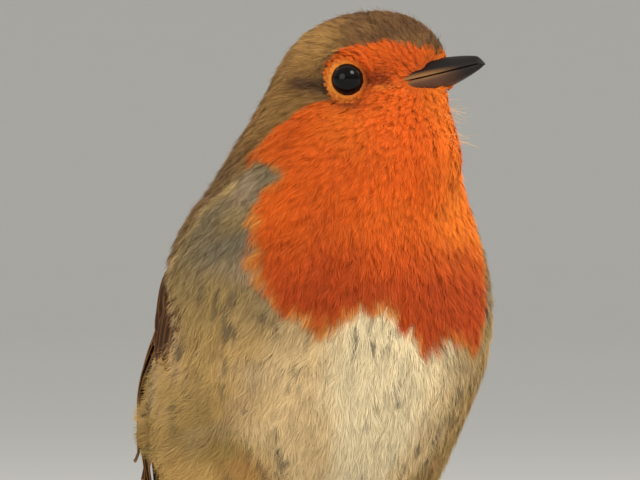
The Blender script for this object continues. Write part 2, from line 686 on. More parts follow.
wings = {
    "lineY": [-34.4, -21.4, -5.4, 14.6], "lineZ": [81, 61, 43, 30], "wrap": 26, "places": 90,
    "bareFrom": [(-1, 14.5), (0, 13.5), (5, 10.5), (10, 8.5), (20, 10)],  # where the coverts come clear
    "bareTo": [(0, 20), (5, 22), (12, 26)], "bareAcross": 21, "bareAside": 10,
    "under": {"aside": 4, "front": -25, "start": 2, "reach": 9},  # where roots are looked for below the wings
    "by": {"aside": 8, "front": -45, "top": 95},  # outside these, no feather can meet a wing
    "margin": 0.45, "marginGrowth": 0.2, "marginPuff": 0.1, "facing": 0.25, "search": 3, "mostLift": 1.8,
}
flightNodes = [f"wing_{rank}_{side}" for rank in ("tertials", "secondaries", "primaries")
               for side in ("right", "left")]
wingStops = np.concatenate([[0], np.cumsum(np.hypot(np.diff(wings["lineY"]), np.diff(wings["lineZ"])))])
wingCurves = [np.zeros(1)] + [np.polyfit(wingStops, wings[axis], 3) for axis in ("lineY", "lineZ")]


def wingLine(place):  # the line's points, and which way it runs there
    return (np.stack([np.polyval(curve, place) for curve in wingCurves], -1),
            unit(np.stack([np.polyval(np.polyder(curve), place) for curve in wingCurves], -1)))


def wingPlace(points):  # how far along a wing, and across it, a point lies
    stops = np.linspace(0, wingStops[-1], wings["places"])
    line, along = (part[:, 1:] for part in wingLine(stops))
    away = points[:, None, 1:] - line[None]
    best = np.argmin(np.abs((away * along[None]).sum(2)), 1)
    away, along = away[np.arange(len(points)), best], along[best]
    across = along[:, 0] * away[:, 1] - along[:, 1] * away[:, 0]
    return stops[best], wings["wrap"] * np.arctan2(across, np.abs(points[:, 0]))


def joined(parts):  # points and faces as one, with the columns after them: colours, places in the uv map
    columns = [np.concatenate(column) for column in zip(*parts)]
    starts = np.cumsum([0] + [len(part[0]) for part in parts])
    columns[1] = np.concatenate([part[1] + start for part, start in zip(parts, starts)])
    return columns


def nodeTree(nodes):
    meshes = [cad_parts[node].data for node in nodes]
    return meshTree(*joined([(pointsOf(mesh), trianglesOf(mesh)) for mesh in meshes]))


def bareSpots(spots, normals):  # under the flight feathers, in the bill's room, or inside the lids
    flightTree = nodeTree(flightNodes + ["tail"])
    u, w = wingPlace(spots)
    onCoverts = ((np.abs(spots[:, 0]) > wings["bareAside"]) & within(w, 0, wings["bareAcross"])
                 & within(u, stations(wings["bareFrom"], w), stations(wings["bareTo"], w)))
    bare = (eyeReach(spots) < lids["opening"] + 0.1) | inBill(spots, -0.1) | onCoverts
    under = wings["under"]
    for i in np.flatnonzero(~bare & (np.abs(spots[:, 0]) > under["aside"]) & (spots[:, 1] > under["front"])):
        start = Vector(spots[i] - normals[i] * under["start"])
        bare[i] = flightTree.ray_cast(start, Vector(normals[i]), under["reach"])[0] is not None
    return bare


def raised(spots, ups, margin):  # lifts what would lie in the wings until it lies on them
    x, y, z = spots.T
    by = wings["by"]
    for i in np.flatnonzero((np.abs(x) > by["aside"]) & (y > by["front"]) & (z < by["top"])):
        spot, normal = wingTree.find_nearest(spots[i], wings["search"])[:2]
        if spot is not None and Vector(ups[i]).dot(normal) > wings["facing"]:
            above = (Vector(spots[i]) - spot).dot(normal)
            if above < margin[i]:
                spots[i] = spots[i] + ups[i] * min(margin[i] - above, wings["mostLift"])
    return spots


def growShafts(form, roots, normals, length, depth):
    steps = coat["steps"]
    line, over, way = np.empty((3, steps, len(roots), 3))
    spots, ups = roots, normals
    turn = coat["turn"] * rng.standard_normal(len(roots))
    for k in range(steps):
        t = k / (steps - 1)
        direction = flowAt(spots, ups)
        direction = unit(direction + np.cross(ups, direction) * turn[:, None])
        height = depth * (0.1 + 0.9 * (1 - (1 - t) ** 1.5))
        line[k] = spots + ups * height[:, None]
        if k:
            y, z = line[k].T[1:]
            puff = smooth(61.5, 55, z) * smooth(44, 50, z) * smooth(0, -12, y)
            margin = wings["margin"] + t * (wings["marginGrowth"] + wings["marginPuff"] * puff)
            line[k] = raised(line[k], ups, margin)
        over[k], way[k] = ups, direction
        if k < steps - 1:
            spots, ups = form.nearest(spots + direction * (length / (steps - 1))[:, None])
    return line, over, way


def featherSizes(roots):  # each feather's length, width, and height over the skin at its tip
    x, y, z = roots.T
    aside = np.abs(x)
    legs = smooth(*legHeights, z) * (aside > 4)
    ring = smooth(4.2, 3.0, eyeReach(roots))
    sizes = []
    for size, spread in (("length", (0.85, 1.15)), ("width", (0.85, 1.2))):
        whole = mix(stations(coat[size], fromBill(roots)), coat["onLegs"][size], legs)
        sizes.append(mix(whole, coat["onRing"][size], ring) * rng.uniform(*spread, len(roots)))
    length, width = sizes
    depth = mix(coatDepth(roots), coat["onRing"]["depth"], ring) * rng.uniform(0.75, 1.2, len(roots))
    u, w = wingPlace(roots)
    onCoverts = (aside > 12) & within(w, 0, 22) & (u < 17)
    length = np.where(onCoverts, np.minimum(length, coat["onCoverts"]), length)
    byWing = smooth(14, 20, aside) * smooth(-38, -30, y) * smooth(68, 58, z)
    overWing = (aside > 17) & (y > -15) & (z < 68)
    longest = mix(*coat["overWingLength"], smooth(57, 62, z))
    length = np.where(overWing, np.minimum(length, longest), length * (1 + 0.2 * byWing))
    return length, width, np.where(overWing, depth * coat["overWingDepth"], depth)


def growCoat(form, roots, normals):  # five points for each barb of each feather
    number, count, steps = len(roots), coat["barbs"], coat["steps"]
    length, width, depth = featherSizes(roots)
    line, over, way = growShafts(form, roots, normals, length, depth)
    side = np.cross(over, way)
    across = np.linspace(-1, 1, count)[None, :] + rng.uniform(-0.13, 0.13, (number, count))
    bend = np.abs(across)
    start = np.clip(0.62 - 0.6 * bend + rng.uniform(-0.1, 0.1, (number, count)), 0, 0.8)
    tip = (1 - 0.3 * bend ** 2) * rng.uniform(0.86, 1.08, (number, count))
    loose = rng.random((number, count)) < coat["loose"]
    lift = rng.normal(0, 0.07, (number, count)) * depth[:, None]
    lift = lift + loose * rng.uniform(0.2, 0.9, (number, count))
    roll = rng.normal(0, 0.2, (number, count))
    half = (coat["halfWidth"] * mix(0.75, 1.0, np.minimum(length / 4, 1)))[:, None, None]
    points = np.empty((number, count, 5, 3))
    feather = np.broadcast_to(np.arange(number)[:, None], (number, count))
    for k, s in enumerate(coat["stops"]):
        along = np.clip(start + (tip - start) * s, 0, 1.12) * (steps - 1)
        low = np.minimum(along.astype(int), steps - 2)
        part = (along - low)[..., None]
        place = line[low, feather] * (1 - part) + line[low + 1, feather] * part
        sideways, up = side[low, feather], over[low, feather]
        v = across * width[:, None] * s ** 1.25
        place = place + sideways * v[..., None] + up * (lift * s ** 1.5 - v ** 2 * coat["curl"])[..., None]
        if k < 2:
            flat = sideways * np.cos(roll)[..., None] + up * np.sin(roll)[..., None]
            points[:, :, 2 * k] = place - flat * half
            points[:, :, 2 * k + 1] = place + flat * half
        else:
            points[:, :, 4] = place
    return points


def coatColours(points):
    number, count = points.shape[:2]
    tips = points[:, :, 4]
    own = (tips * 0.6 + tips.mean(1, keepdims=True) * 0.4).reshape(-1, 3)
    tone = plumageAt(own).reshape(number, count, 1, 3)
    shade = rng.normal(1, 0.04, (number, 1, 1)) * rng.normal(1, 0.045, (number, count, 1))
    shade = shade * np.where(rng.random((number, 1, 1)) < coat["dark"], 0.8, 1)
    tone = tone * shade[..., None]
    foot = plumage["base"] * 0.16 + tone * 0.64
    return foot + (tone - foot) * np.array(coat["shares"])[:, None]


def coatPieces(points, colours, uv, slot):
    number, count = points.shape[:2]
    perPiece = coat["perPiece"] // count
    strip = np.array([[0, 1, 3], [0, 3, 2], [2, 3, 4]])
    tuft = np.array([[0, 0], [0, 1], [0.58, 0], [0.58, 1], [1, 0.5]]) * coat["tuft"] - coat["tuft"] / 2
    for first in range(0, number, perPiece):
        block, tone, own = (part[first:first + perPiece] for part in (points, colours, uv))
        own = np.clip(np.repeat(own, count, axis=0)[:, None, :] + tuft[None], 0, 1)
        faces = (np.arange(len(block) * count)[:, None, None] * 5 + strip[None]).reshape(-1, 3)
        made = block.reshape(-1, 3), faces, tone.reshape(-1, 3), own.reshape(-1, 2)
        makePiece(f"{slot}_{first // perPiece + 1}", made, coatFinish, slot)


coatFinish = finish("coat")
skin = newPiece("skin", skinMesh, finish("skin"), "coat_buff", *skinSettings["nodes"])
unwrap(skin)
skinForm = Form(skinMesh)
dark = smooth(4, 9, eyeReach(skinForm.points)) * 0.15
paint(skinMesh, tint(plumageAt(skinForm.points) * 0.75, plumage["base"][None] * 0.5, dark))
print("skin unwrapped")

loops = fetch(skinMesh.loop_triangles, "loops", 3, np.int32)
faceUv = fetch(skinMesh.uv_layers["OFBake"].data, "uv", 2)[loops]
roots, rootNormals, rootUv = scatter(skinForm, faceUv)
keep = ~bareSpots(roots, rootNormals)
roots, rootNormals, rootUv = roots[keep], rootNormals[keep], rootUv[keep]
coverForm = Form(withLids(closedForm(fleshAndPlugs + flightNodes), "cover"))
wingTree = nodeTree(flightNodes)


def flankEdge(kept):  # the flank's own feathers also lie over the front edge of the folded wing
    spots, normals = scatter(coverForm, np.zeros((len(coverForm.triangles), 3, 2)))[:2]
    x, y, z = spots.T
    front = stations(coat["overWing"], z) + 0.8 * noiseAt(spots, 2.5, 25)
    ahead = np.flatnonzero((np.abs(x) > 12) & within(y, -25, front) & within(z, 41, 67))
    tree = pointTree(kept)
    good = [i for i in ahead if tree.find(spots[i])[2] > 0.4 and wingTree.find_nearest(spots[i], 3)[0]]
    spots, normals = spots[good], normals[good]
    faces = np.array([skinForm.tree.find_nearest(p)[2] for p in spots.tolist()])
    share = skinForm.shares(faces, spots)
    return spots, normals, (faceUv[faces] * share[:, :, None]).sum(1)


more = flankEdge(roots)
ownRoots = len(roots)
print("over the wings:", len(more[0]), "feathers")
roots, rootNormals, rootUv = (np.vstack(pair) for pair in zip((roots, rootNormals, rootUv), more))
barbs = growCoat(coverForm, roots, rootNormals)
tones = coatColours(barbs)
print("coat:", len(roots), "feathers,", barbs.shape[0] * barbs.shape[1], "barbs")
onHead = roots[:, 2] > 84
onBack = ~onHead & (roundBody(roots) > 108)
for slot, here in (("coat_orange", onHead), ("coat_olive", onBack), ("coat_buff", ~onHead & ~onBack)):
    coatPieces(barbs[here], tones[here], rootUv[here], slot)
print("coat pieces made")

# shapes made of rings

def curveThrough(points, count):
    points = np.asarray(points, float)
    full = np.vstack([2 * points[0] - points[1], points, 2 * points[-1] - points[-2]])
    place = np.linspace(0, len(points) - 1, count)
    i = np.minimum(place.astype(int), len(points) - 2)
    t = (place - i)[:, None]
    a, b, c, d = full[i], full[i + 1], full[i + 2], full[i + 3]
    return 0.5 * (2 * b + (c - a) * t + (2 * a - 5 * b + 4 * c - d) * t ** 2
                  + (3 * b - a - 3 * c + d) * t ** 3)


def fullTurn(count):
    return np.linspace(0, 2 * math.pi, count, endpoint=False)


def ringFaces(rings, around, closed=True):
    a = np.arange(rings * around).reshape(rings, around)
    b = np.roll(a, -1, axis=1)
    if not closed:
        a, b = a[:, :-1], b[:, :-1]
    return np.stack([a[:-1], b[:-1], b[1:], a[:-1], b[1:], a[1:]], -1).reshape(-1, 3)


def capped(rings):  # rings of points as a closed shape
    count, around = rings.shape[:2]
    points = np.vstack([rings.reshape(-1, 3), rings[0].mean(0), rings[-1].mean(0)])
    j, start = np.arange(around), np.full(around, count * around)
    k, last = np.roll(j, -1), (count - 1) * around
    ends = np.stack([start, k, j, start + 1, last + j, last + k], 1).reshape(-1, 3)
    return points, np.vstack([ringFaces(count, around), ends])


def tube(line, wide, high, around, up):
    line = np.asarray(line)
    along = unit(np.gradient(line, axis=0))
    side = unit(np.cross(along, up))
    over = np.cross(side, along)
    turn = fullTurn(around)
    wide, high = (np.broadcast_to(v, len(line))[:, None, None] for v in (wide, high))
    return (line[:, None] + side[:, None] * np.cos(turn)[None, :, None] * wide
            + over[:, None] * np.sin(turn)[None, :, None] * high)


def plain(points, tone):
    return np.broadcast_to(tone, points.shape)


# loose hairs at the throat and the flank's edge, and bristles at the gape

hairs = [
    {"name": "throat_hairs", "slot": "coat_orange", "count": 44, "long": (1.6, 4), "thick": 0.028, "out": 0.9,
     "lean": headForward * 0.2 - headUp * 0.25, "tone": colour(236, 196, 136)},
    {"name": "gape_bristles", "slot": "coat_orange", "count": 22, "long": (2.4, 4), "thick": 0.04,
     "out": 0.35, "lean": headForward * 1.1 - headUp * 0.1, "tone": colour(60, 38, 26)},
    {"name": "flank_hairs", "slot": "coat_buff", "count": 34, "long": (1.3, 2.4), "thick": 0.03, "out": 0.9,
     "lean": np.array([0, 0.1, 0.5]), "tone": colour(70, 50, 38)},
]
hairShape = {"points": 6, "around": 4, "root": 0.3, "taper": 0.8, "stray": 0.22, "bend": 0.12,
             "spread": 0.0015}


def growHair(hair, i):
    shape, up = hairShape, rootNormals[i]
    way = unit(up * hair["out"] + hair["lean"] + rng.normal(0, shape["stray"], 3))
    reach = rng.uniform(*hair["long"])
    bend = rng.normal(0, shape["bend"], 3) - shape["bend"] * upward
    t = np.linspace(0, 1, shape["points"])[:, None]
    line = roots[i] + up * shape["root"] + way * reach * t + bend * reach * t ** 2
    thick = hair["thick"] * (1 - shape["taper"] * t[:, 0])
    points, faces = capped(tube(line, thick, thick, shape["around"], up))
    tone = plain(points, hair["tone"] * rng.uniform(0.8, 1.15))
    uv = rootUv[i] + rng.uniform(-shape["spread"], shape["spread"], (len(points), 2))
    return points, faces, tone, np.clip(uv, 0, 1)


def buildHairs():
    forward, side, up = headPlace(roots)
    y, z = roots.T[1:]
    throat = (forward > 12) & within(up, -9, -1.6) & within(side, -1.5, 7)
    gape = within(forward, 7.6, 10.8) & within(up, -2, 2) & within(np.abs(side), 4, 8)
    edge = (np.arange(len(roots)) >= ownRoots) & (y > stations(coat["overWing"], z) - 4) & (z > 53.5)
    for hair, here in zip(hairs, (throat, gape, edge)):
        places = np.flatnonzero(here)
        chosen = rng.choice(places, min(hair["count"], len(places)), replace=False)
        makePiece(hair["name"], joined([growHair(hair, i) for i in chosen]), coatFinish, hair["slot"])


buildHairs()
print("loose hairs made")

# flight feathers: a thin solid vane each, with its shaft and a cover of fine barbs

vanes = {
    "steps": 17, "across": 9, "thick": 0.14, "camber": 0.25, "slant": 0.9, "barbGap": 0.16,
    "barbStops": ((0, 1), (0.35, 1), (0.7, 0.7), (1, 0)),  # place along a barb, and its width there
    "barbHalf": 0.62, "barbTilt": 0.045, "split": 0.02, "shaftThick": (0.34, 0.06), "shaftLift": 0.08,
    "web": colour(50, 37, 29), "edge": colour(156, 106, 60), "shaft": colour(38, 28, 23),
    "tip": colour(190, 140, 80), "rim": 1, "spotAt": 2, "spot": 0, "bend": 0.8, "sink": 0,
}
vaneFinish = finish("vane")


def vaneOutline(t, root, tip):  # half the width as a share, from the root to a rounded tip
    body = root + (1 - root) * smooth(0, 0.3, t)
    end = np.sqrt(np.clip(1 - np.clip((t - tip) / (1 - tip), 0, 1) ** 2, 0, 1))
    return body * end


def vanePlaces(first, last, low, high):  # from root to tip, and from side to side
    return np.meshgrid(np.linspace(first, last, vanes["steps"]), np.linspace(low, high, vanes["across"]),
                       indexing="ij")


def sampleGrid(grid, t, v):  # t and v from 0 to 1 over a grid of points
    rows, columns = grid.shape[:2]
    a, b = np.clip(t, 0, 1) * (rows - 1), np.clip(v, 0, 1) * (columns - 1)
    i, j = np.minimum(a.astype(int), rows - 2), np.minimum(b.astype(int), columns - 2)
    a, b = (a - i)[..., None], (b - j)[..., None]
    return ((grid[i, j] * (1 - b) + grid[i, j + 1] * b) * (1 - a)
            + (grid[i + 1, j] * (1 - b) + grid[i + 1, j + 1] * b) * a)


def vaneTone(place, look):  # place from 0 to 1 along the vane, and from its outer edge to its inner one
    t, v = place[:, 0], place[:, 1] * 2 - 1
    tone = tint(np.broadcast_to(look["web"], (len(t), 3)), look["edge"], smooth(-0.6, -0.88, v) * look["rim"])
    tone = tint(tone, look["edge"], 0.5 * smooth(0.86, 1, v) + 0.6 * smooth(0.93, 1, t) * look["rim"])
    spot = smooth(look["spotAt"], look["spotAt"] + 0.1, t) * smooth(0.3, -0.3, v)
    return tint(tone, vanes["tip"], spot * look["spot"])


def vaneSheet(top, over, place, look):  # the vane's two sides and its rim
    rows, columns = top.shape[:2]
    n = rows * columns
    sheet = np.vstack([top.reshape(-1, 3), (top - over * look["thick"]).reshape(-1, 3)])
    front = ringFaces(rows, columns, closed=False)
    index = np.arange(n).reshape(rows, columns)
    a = np.concatenate([index[:, 0], index[-1, 1:], index[-2::-1, -1], index[0, -2:0:-1]])
    b = np.roll(a, -1)
    rim = np.stack([b, a, a + n, b, a + n, b + n], 1).reshape(-1, 3)
    faces = np.vstack([front, front[:, ::-1] + n, rim])
    tone = vaneTone(place, look)
    return sheet, faces, np.vstack([tone * 0.8, tone * 0.7]), np.tile(place, (2, 1))


def vaneBarbs(top, over, look, start, reach, width, edge):  # the cover on one side of the shaft
    count, shaftAt = len(start), look["shaftAt"]
    part = 1 - shaftAt if edge else shaftAt
    run = look["slant"] * width * part / reach
    first = start - run * 0.6
    half = look["barbHalf"] * look["barbGap"] / reach
    split = look["split"] * np.sin(start * 40 + rng.uniform(0, 6)) ** 9
    barb, spots = np.empty((count, 7, 3)), np.empty((count, 7, 2))
    for k, (s, share) in enumerate(look["barbStops"]):
        along = first + run * s ** 0.8 + split * s + rng.normal(0, 0.0012, count) * s
        aside = shaftAt + (edge - shaftAt) * s * rng.uniform(0.97, 1.0, count)
        lift = 0.05 + 0.03 * s + 0.02 * rng.standard_normal(count) * s
        for m, sign in enumerate((-1, 1) if share else (0,)):
            t = np.clip(along + sign * half * share, 0, 1)
            raisedBy = (lift + look["barbTilt"] * sign)[:, None]
            barb[:, 2 * k + m] = sampleGrid(top, t, aside) + sampleGrid(over, t, aside) * raisedBy
            spots[:, 2 * k + m] = np.stack([t, aside], 1)
    good = (first > -0.02) & (first + run < 1.05)
    barb, spots = barb[good], spots[good].reshape(-1, 2)
    tone = vaneTone(spots, look).reshape(len(barb), 7, 3) * rng.normal(1, 0.09, (len(barb), 1, 1))
    strip = np.array([[0, 1, 3], [0, 3, 2], [2, 3, 5], [2, 5, 4], [4, 5, 6]])
    faces = (np.arange(len(barb))[:, None, None] * 7 + strip[None]).reshape(-1, 3)
    return barb.reshape(-1, 3), faces[:, ::-1] if edge else faces, tone.reshape(-1, 3), spots


def vaneShaft(top, over, look):
    rows, columns = top.shape[:2]
    t, aside = np.linspace(0, 0.97, rows), np.full(rows, look["shaftAt"])
    line = sampleGrid(top, t, aside) + sampleGrid(over, t, aside) * look["shaftLift"]
    thick = np.linspace(*look["shaftThick"], rows)
    points, faces = capped(tube(line, thick, thick * 0.6, 6, over[rows // 2, columns // 2]))
    return points, faces, plain(points, look["shaft"]), np.tile([0.5, look["shaftAt"]], (len(points), 1))


def buildVane(grid, look, number, of):  # grid runs from root to tip, and from the outer edge to the inner
    look = {**vanes, **look}
    rows, columns = grid.shape[:2]
    over = unit(np.cross(unit(np.gradient(grid, axis=0)), np.gradient(grid, axis=1))) * look["face"]
    t, v = vanePlaces(0, 1, 0, 1)
    crown = 1 - np.abs(v - look["shaftAt"]) / np.maximum(look["shaftAt"], 1 - look["shaftAt"])
    top = grid + over * (crown * look["camber"])[..., None]
    reach = np.linalg.norm(grid[-1, columns // 2] - grid[0, columns // 2])
    width = np.linalg.norm(grid[rows // 2, -1] - grid[rows // 2, 0])
    count = int(reach / look["barbGap"])
    start = (np.arange(count) + rng.uniform(-0.2, 0.2, count)) / count
    parts = [vaneSheet(top, over, np.stack([t.ravel(), v.ravel()], 1), look)]
    parts += [vaneBarbs(top, over, look, start, reach, width, edge) for edge in (0, 1)]
    points, faces, tones, place = joined(parts + [vaneShaft(top, over, look)])
    corner, size = [number / of + look["gap"], 0.02], [1 / of - 2 * look["gap"], 0.96]  # in the uv map
    return points, faces, tones, np.array(corner) + place[:, ::-1] * size


def vanePiece(name, made, slot, *nodes):
    makePiece(name, joined(made), vaneFinish, slot, *nodes, smoothShade=False)


wingSets = {
    "tertials": [
        {"root": (25.5, 19.5 - 2.8 * i), "tip": (48 + 3.5 * i, 21.5 - 4 * i), "half": 3.7,
         "lift": 0.12 - 0.3 * i, "shaftAt": 0.42} for i in range(3)],
    "secondaries": [
        {"root": (31 + 3 * i, 10 - 3.4 * i), "tip": (55.5 + 0.7 * i, 9.5 - 3 * i), "half": 3.4,
         "lift": 0.1 - 0.28 * i, "shaftAt": 0.36, "sink": 0.8} for i in range(3)],
    "primaries": [
        {"root": (40 + i, 1.5 - 1.5 * i), "tip": (59.5 + 3.6 * i - 0.25 * i * i, 7 - 1.8 * i), "half": 2.9,
         "lift": 0.1 - 0.28 * i, "shaftAt": 0.3, "sink": 0.8} for i in range(5)]
        + [{"root": (39, -3.5), "tip": (57, -3.4), "half": 3.4, "lift": -0.9, "shaftAt": 0.3, "rim": 0,
            "sink": 2.2}],
}
greaterCoverts = {
    "count": 10, "u": (9.5, 6.5), "w": (19, 1.2), "length": (20.5, 17), "drop": (0.3, 1.4), "half": 2.4,
    "lift": 0.2, "step": 0.04, "sink": 1.9, "rim": 0.8, "spot": 0.6, "spotAt": 0.88, "camber": 0.35,
    "shaftAt": 0.42, "bend": 0.3, "web": colour(68, 46, 30), "edge": colour(160, 106, 58), "gap": 0.005,
}
castFrom = 60  # rays towards the line inside the body start this far out


def wingRay(side, u, w):
    place = np.clip(u, 0, wingStops[-1])
    origin, along = wingLine(place)
    origin = origin + along * (u - place)[..., None]
    angle = w / wings["wrap"]
    way = np.stack([side * np.cos(angle), -along[..., 2] * np.sin(angle), along[..., 1] * np.sin(angle)], -1)
    return origin, way


def filled(reach):  # misses take the nearest hit's value, and the whole is evened out
    middle = reach.shape[1] // 2
    for row in reach:
        good = np.flatnonzero(~np.isnan(row))
        if len(good):
            row[:] = np.interp(np.arange(len(row)), good, row[good])
    rows = np.flatnonzero(~np.isnan(reach[:, middle]))
    for j in range(reach.shape[1]):
        reach[:, j] = np.interp(np.arange(len(reach)), rows, reach[rows, j])
    for i in range(3):
        padded = np.pad(reach, 1, mode="edge")
        reach = (padded[:-2, 1:-1] + padded[2:, 1:-1] + padded[1:-1, :-2] + padded[1:-1, 2:] + 2 * reach) / 6
    return reach


def wingVane(tree, side, feather, number, of):  # a vane laid on the wing's solid, from outside
    look = {**vanes, "gap": 0.01, **feather, "face": -side}
    t, v = vanePlaces(0, 1, -1, 1)
    u, w = (mix(look["root"][k], look["tip"][k], t) for k in (0, 1))
    w = w + vaneOutline(t, 0.6, 0.8) * look["half"] * v + look["bend"] * np.sin(t * math.pi)
    origin, way = wingRay(side, u, w)
    reach = np.full(u.shape, np.nan)
    for spot in np.ndindex(u.shape):
        hit = tree.ray_cast(Vector(origin[spot] + way[spot] * castFrom), Vector(-way[spot]), castFrom)
        if hit[0] is not None:
            reach[spot] = castFrom - hit[3]
    reach = filled(reach) + look["lift"] - look["sink"] * smooth(0.4, 0.08, t)
    return buildVane(origin + way * reach[..., None], look, number, of)


def buildWings():
    ranks, covert = ("coverts", "tertials", "secondaries", "primaries"), greaterCoverts
    for side, word in sides:
        for rank, feathers in wingSets.items():
            node = f"wing_{rank}_{word}"
            tree = nodeTree([node])
            made = [wingVane(tree, side, feather, i, len(feathers)) for i, feather in enumerate(feathers)]
            vanePiece(f"{rank}_{word}", made, "flight_feathers", node)
        whole = nodeTree(["trunk"] + [f"wing_{rank}_{word}" for rank in ranks])
        made = []
        for i in range(covert["count"]):
            share = i / (covert["count"] - 1)
            u, w, reach, drop = (mix(*covert[k], share) for k in ("u", "w", "length", "drop"))
            tip = (u + reach * rng.uniform(0.96, 1.04), w - drop)
            feather = {**covert, "root": (u, w), "tip": tip, "lift": covert["lift"] - covert["step"] * i}
            made.append(wingVane(whole, side, feather, i, covert["count"]))
        vanePiece(f"greater_coverts_{word}", made, "coat_olive")


tail = {"root": (0, 9.6, 43.5), "drop": 32, "length": 53.4, "longer": (0.9, -0.13), "from": 0.19, "ranks": 6,
        "fan": 1.1, "side": 0.55, "step": 0.36, "arch": 0.012, "half": 4.3}


def buildTail():
    drop = math.radians(tail["drop"])
    back = np.array([0, math.cos(drop), -math.sin(drop)])
    over = np.array([0, math.sin(drop), math.cos(drop)])
    t, v = vanePlaces(tail["from"], 1, -1, 1)
    half = tail["half"] * (0.6 + 0.4 * smooth(0, 0.9, t)) * vaneOutline(t, 1, 0.88)
    made = []
    for rank in range(tail["ranks"]):
        for side in (-1, 1):
            fan = side * (rank - 0.5) * math.radians(tail["fan"])
            length = tail["length"] + tail["longer"][0] * rank + tail["longer"][1] * rank ** 2
            x = t * length * math.sin(fan) + side * rank * tail["side"] - v * side * half
            lift = 0.1 - rank * tail["step"] - x ** 2 * tail["arch"]
            grid = (np.array(tail["root"]) + back * (t * length * math.cos(fan))[..., None]
                    + over * lift[..., None] + np.array([1, 0, 0]) * x[..., None])
            look = {"face": -side, "shaftAt": 0.5 - 0.05 * rank, "web": vanes["web"] * 1.05, "rim": 0.55,
                    "gap": 0.005}
            made.append(buildVane(grid, look, len(made), tail["ranks"] * 2))
    vanePiece("tail_vanes", made, "flight_feathers", "tail")


buildWings()
buildTail()
print("flight feathers made")

# bill: two halves of horn that meet along their cutting edges

def billPoint(t, side, up):
    forward = bill["gape"][0] + billLength * t
    lift = (forward - bill["gape"][0]) * math.tan(billRise)
    high = bill["gape"][1] + lift + up * math.cos(billRise)
    ahead = forward - up * math.sin(billRise)
    return headMiddle + headForward * ahead[..., None] + headLeft * side[..., None] + headUp * high[..., None]


def billHalf(way, wides, highs):
    t = 1 - (1 - np.linspace(0, 1, bill["rings"])) ** 1.15
    fine = curveThrough(np.stack([bill["stops"], wides, highs], 1), 200)
    wide, high = (np.interp(t, fine[:, 0], fine[:, k])[:, None] for k in (1, 2))
    turn = fullTurn(bill["around"])
    across, above = np.cos(turn)[None], np.sin(turn)[None]
    outer = above >= -0.001
    side = wide * (np.sign(across) * np.abs(across) ** 0.9)
    up = np.where(outer, high * np.abs(above) ** 1.12 + 0.1, 0.1 - 0.12 * np.abs(above))
    t = np.broadcast_to(t[:, None], up.shape)
    horn, rootShare, edgeShare = bill["lowerHorn"], 1, 0.4
    if way > 0:
        horn, rootShare, edgeShare = bill["horn"], 0.4, 0.8
        up = up - bill["hook"] * smooth(0.93, 1, t)
        nostril = near(t, bill["nostril"][0], 0.045) * near(above, bill["nostril"][1], 0.16) * outer
        side = side - np.sign(across) * nostril * bill["nostrilDepth"]
        side = side * (1 + 0.04 * near(above, 0, 0.25) * outer)
    edge = near(above, 0.06, 0.12) * smooth(0.8, 0.4, t)
    tone = tint(np.broadcast_to(horn, (t.size, 3)), bill["horn"], smooth(0.45, 0.85, t).ravel())
    tone = tint(tone, bill["root"], (0.55 * smooth(0.32, 0.02, t) * rootShare).ravel())
    tone = tint(tone, bill["edge"], (edgeShare * edge).ravel())
    points, faces = capped(billPoint(t, side, way * up))
    return points, faces[:, ::-way], np.vstack([tone, tone[:1], tone[-1:]])


def buildBill():
    horn = finish("billHorn")
    for way, word in ((1, "upper"), (-1, "lower")):
        made = billHalf(way, bill[f"{word}Wide"], bill[f"{word}High"])
        makePiece(f"bill_{word}_horn", made, horn, "bill_horn", f"bill_{word}")


buildBill()
print("bill made")

# eyes: a wet dark ball each, a little fuller in front

eyes = {"iris": colour(30, 18, 11), "pupil": (0.002, 0.002, 0.002), "pupilSize": 0.66, "soft": 0.03,
        "full": 0.12}


def buildEyes():
    wet = finish("eye")
    for (side, word), middle in zip(sides, (eyeRight, eyeLeft)):
        ball = bmesh.new()
        bmesh.ops.create_icosphere(ball, subdivisions=5, radius=1)
        points = np.array([v.co[:] for v in ball.verts])
        faces = np.array([[v.index for v in f.verts] for f in ball.faces])
        ball.free()
        facing = points @ eyeFacing(side)
        flat = np.sqrt(np.maximum(1 - facing ** 2, 0))
        shape = points * eyeRadius + eyeFacing(side)[None] * (eyes["full"] * smooth(0.35, 1, facing))[:, None]
        rim, soft = eyes["pupilSize"], eyes["soft"]
        inPupil = smooth(rim + soft, rim - soft, flat) * (facing > 0)
        tone = tint(plain(points, eyes["iris"]), np.array(eyes["pupil"]), inPupil)
        makePiece(f"eyeball_{word}", (shape + middle, faces, tone), wet, "eye_dark", f"eye_{word}")


buildEyes()
print("eyes made")

# legs: scaled shanks and toes, and curved claws

legs = {
    "ankle": (8.5, -7.9, 25), "joint": (9.5, -17.4, 2.2), "lean": np.array([0, -1, 0.4]),
    "toes": [("inner", -24, 10, 4), ("middle", 2, 14, 4.5), ("outer", 27, 10.5, 4), ("hind", 180, 8, 6)],
    "shankScales": (2.1, 0.09), "toeScales": (1.05, 0.08),  # length and height
    "palm": [(-1, 1.1), (-0.3, 1.3), (0.4, 1.3), (0.9, 0.9)],  # place along the shank's line, and thickness
    "skin": colour(96, 66, 52), "seam": colour(52, 34, 28), "claw": colour(40, 30, 26),
    "pad": colour(128, 96, 72), "shankPoints": 90, "toePoints": 70, "clawPoints": 30,
}


